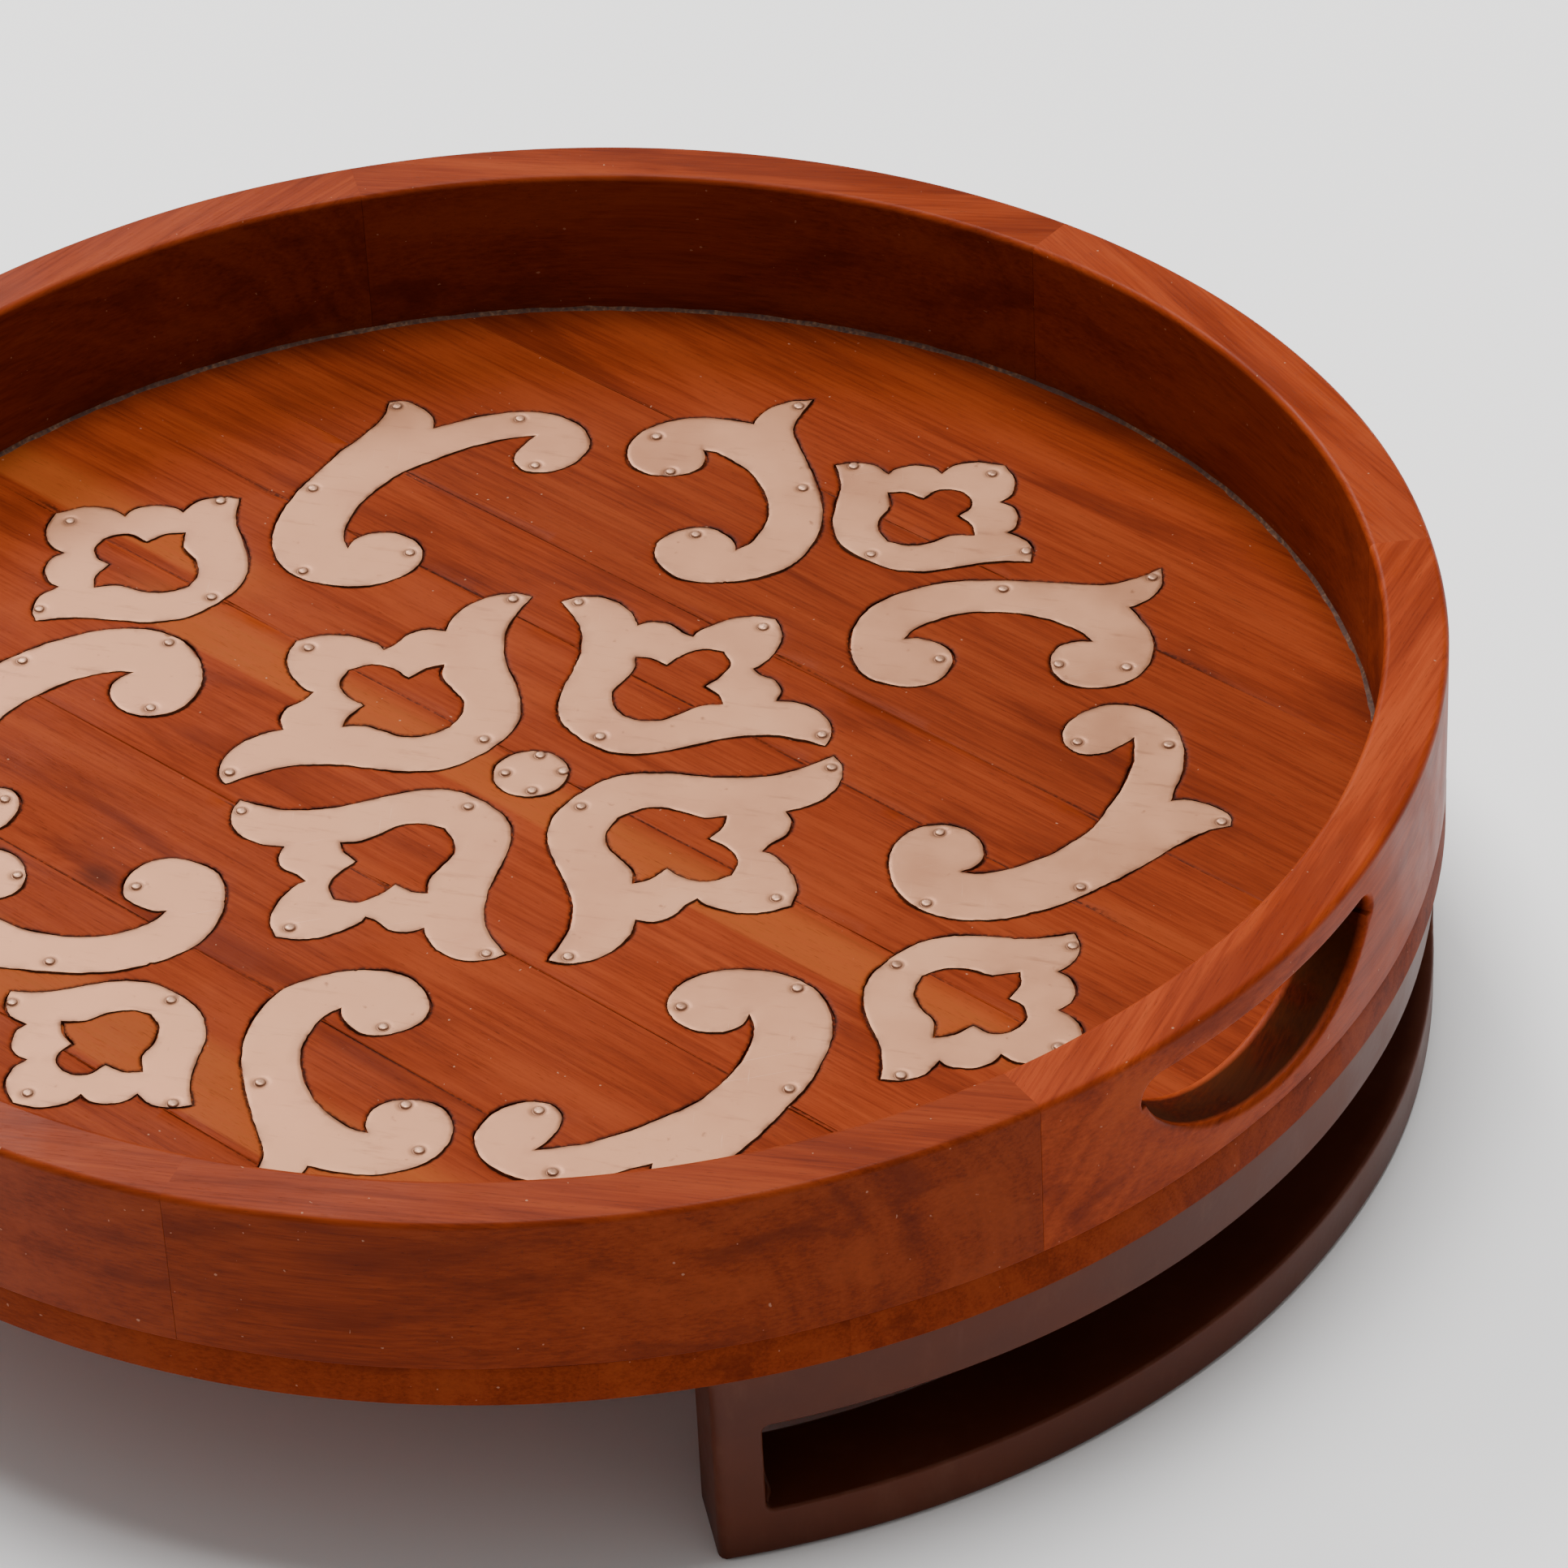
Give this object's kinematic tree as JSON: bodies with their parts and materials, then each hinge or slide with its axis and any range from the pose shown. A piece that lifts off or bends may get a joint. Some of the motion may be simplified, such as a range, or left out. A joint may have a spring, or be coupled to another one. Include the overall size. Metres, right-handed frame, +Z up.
{
  "type": "serving tray",
  "caption": "Round wooden serving tray with a jointed rim, hand slots, a nailed sheet-metal flower inlay and curved painted iron feet.",
  "frame": {"origin": "middle of the tray's footprint, on the surface that the feet stand on", "axes": "+Z up; the two feet and the right hand slot are on the X axis, the left hand slot is 7 degrees off it, and the picture looks from between +X and -Y"},
  "size_m": [0.4, 0.4, 0.0975],
  "materials": {
    "board_wood": "reddish-brown hardwood planks under a clear satin lacquer",
    "rim_wood": "reddish-brown hardwood under a clear glossy lacquer",
    "inlay_metal": "satin white metal sheet, scratched and smudged",
    "nails": "small domed heads, dull bright",
    "feet_paint": "smooth dark brown paint, satin",
    "screws": "plain steel"
  },
  "bodies": {
    "root": {"board_1": "board_wood", "board_2": "board_wood", "board_3": "board_wood", "board_4": "board_wood", "board_5": "board_wood", "board_6": "board_wood", "board_7": "board_wood", "board_8": "board_wood", "rim_front_right": "rim_wood", "rim_slot_right": "rim_wood", "rim_back_right": "rim_wood", "rim_back_left": "rim_wood", "rim_slot_left": "rim_wood", "rim_front_left": "rim_wood", "rim_front": "rim_wood", "centre_disc": "inlay_metal", "inner_tulip_right": "inlay_metal", "inner_tulip_back": "inlay_metal", "inner_tulip_left": "inlay_metal", "inner_tulip_front": "inlay_metal", "outer_tulip_right": "inlay_metal", "outer_tulip_back": "inlay_metal", "outer_tulip_left": "inlay_metal", "outer_tulip_front": "inlay_metal", "side_scroll_back_right": "inlay_metal", "side_scroll_back_left": "inlay_metal", "side_scroll_front_right": "inlay_metal", "side_scroll_front_left": "inlay_metal", "end_scroll_back_right": "inlay_metal", "end_scroll_back_left": "inlay_metal", "end_scroll_front_right": "inlay_metal", "end_scroll_front_left": "inlay_metal", "centre_nails": "nails", "inner_tulip_nails": "nails", "outer_tulip_nails": "nails", "side_scroll_nails": "nails", "end_scroll_nails": "nails", "right_foot_top_rail": "feet_paint", "right_foot_bottom_rail": "feet_paint", "right_foot_front_post": "feet_paint", "right_foot_back_post": "feet_paint", "left_foot_top_rail": "feet_paint", "left_foot_bottom_rail": "feet_paint", "left_foot_front_post": "feet_paint", "left_foot_back_post": "feet_paint", "foot_screws": "screws"}
  },
  "joints": []
}
